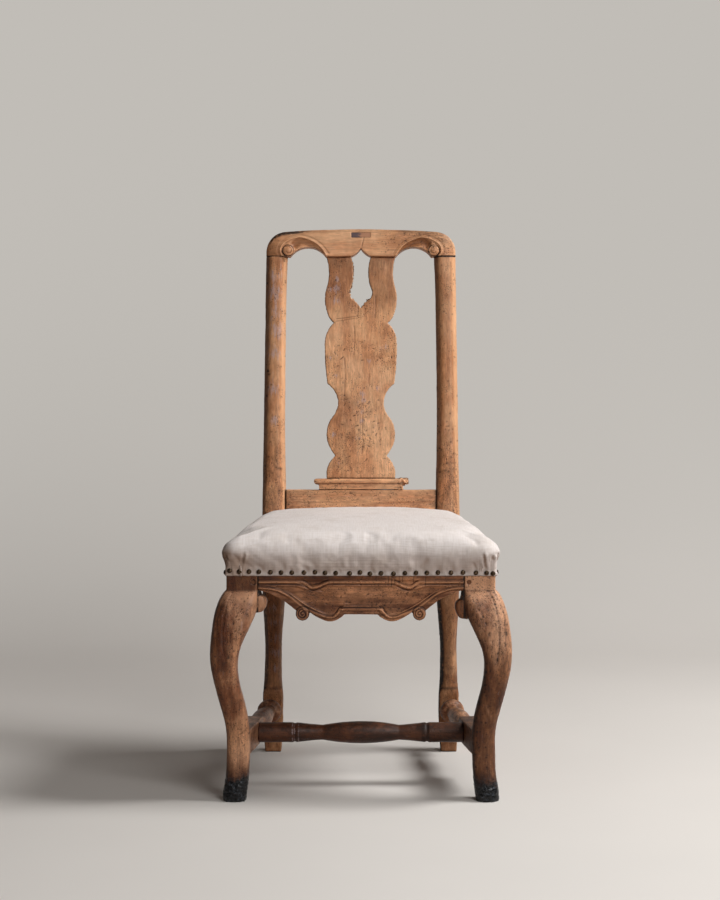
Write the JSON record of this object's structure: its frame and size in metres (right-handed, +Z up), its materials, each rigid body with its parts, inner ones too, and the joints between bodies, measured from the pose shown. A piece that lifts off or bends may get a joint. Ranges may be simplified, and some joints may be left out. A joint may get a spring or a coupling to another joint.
{
  "type": "upholstered side chair",
  "caption": "Baroque side chair with cabriole front legs, carved scalloped apron, pierced vase splat, arched crest, turned stretchers and a linen-covered stuffed seat.",
  "frame": {"origin": "on the floor below the middle of the chair's bounding box", "axes": "+X to the right seen from the front, -Y to the front of the chair, +Z up"},
  "size_m": [0.5258, 0.501, 1.0013],
  "materials": {
    "wood": "old waxed wood with traces of paint",
    "patch_wood": "greyed repair",
    "peg_wood": "end grain",
    "webbing": "jute webbing",
    "hessian": "coarse hessian",
    "stuffing": "hair and fibre stuffing",
    "linen": "plain woven linen",
    "nail_metal": "dark bronze dome nails"
  },
  "bodies": {
    "root": {"front_leg_left": "wood", "front_leg_right": "wood", "back_post_left": "wood", "back_post_right": "wood", "front_seat_rail": "wood", "side_seat_rail_left": "wood", "side_seat_rail_right": "wood", "rear_seat_rail": "wood", "crest_rail": "wood", "back_splat": "wood", "lower_back_rail": "wood", "splat_shoe": "wood", "side_stretcher_left": "wood", "side_stretcher_right": "wood", "cross_stretcher": "wood", "knee_scroll_front_left": "wood", "knee_scroll_front_right": "wood", "knee_scroll_side_left": "wood", "knee_scroll_side_right": "wood", "crest_patch": "patch_wood", "seat_rail_pegs_left": "peg_wood", "seat_rail_pegs_right": "peg_wood", "back_pegs_left": "peg_wood", "back_pegs_right": "peg_wood", "webbing_long_1": "webbing", "webbing_long_2": "webbing", "webbing_long_3": "webbing", "webbing_cross_1": "webbing", "webbing_cross_2": "webbing", "webbing_cross_3": "webbing", "seat_hessian": "hessian", "seat_stuffing": "stuffing", "seat_cover": "linen"}
  },
  "joints": []
}
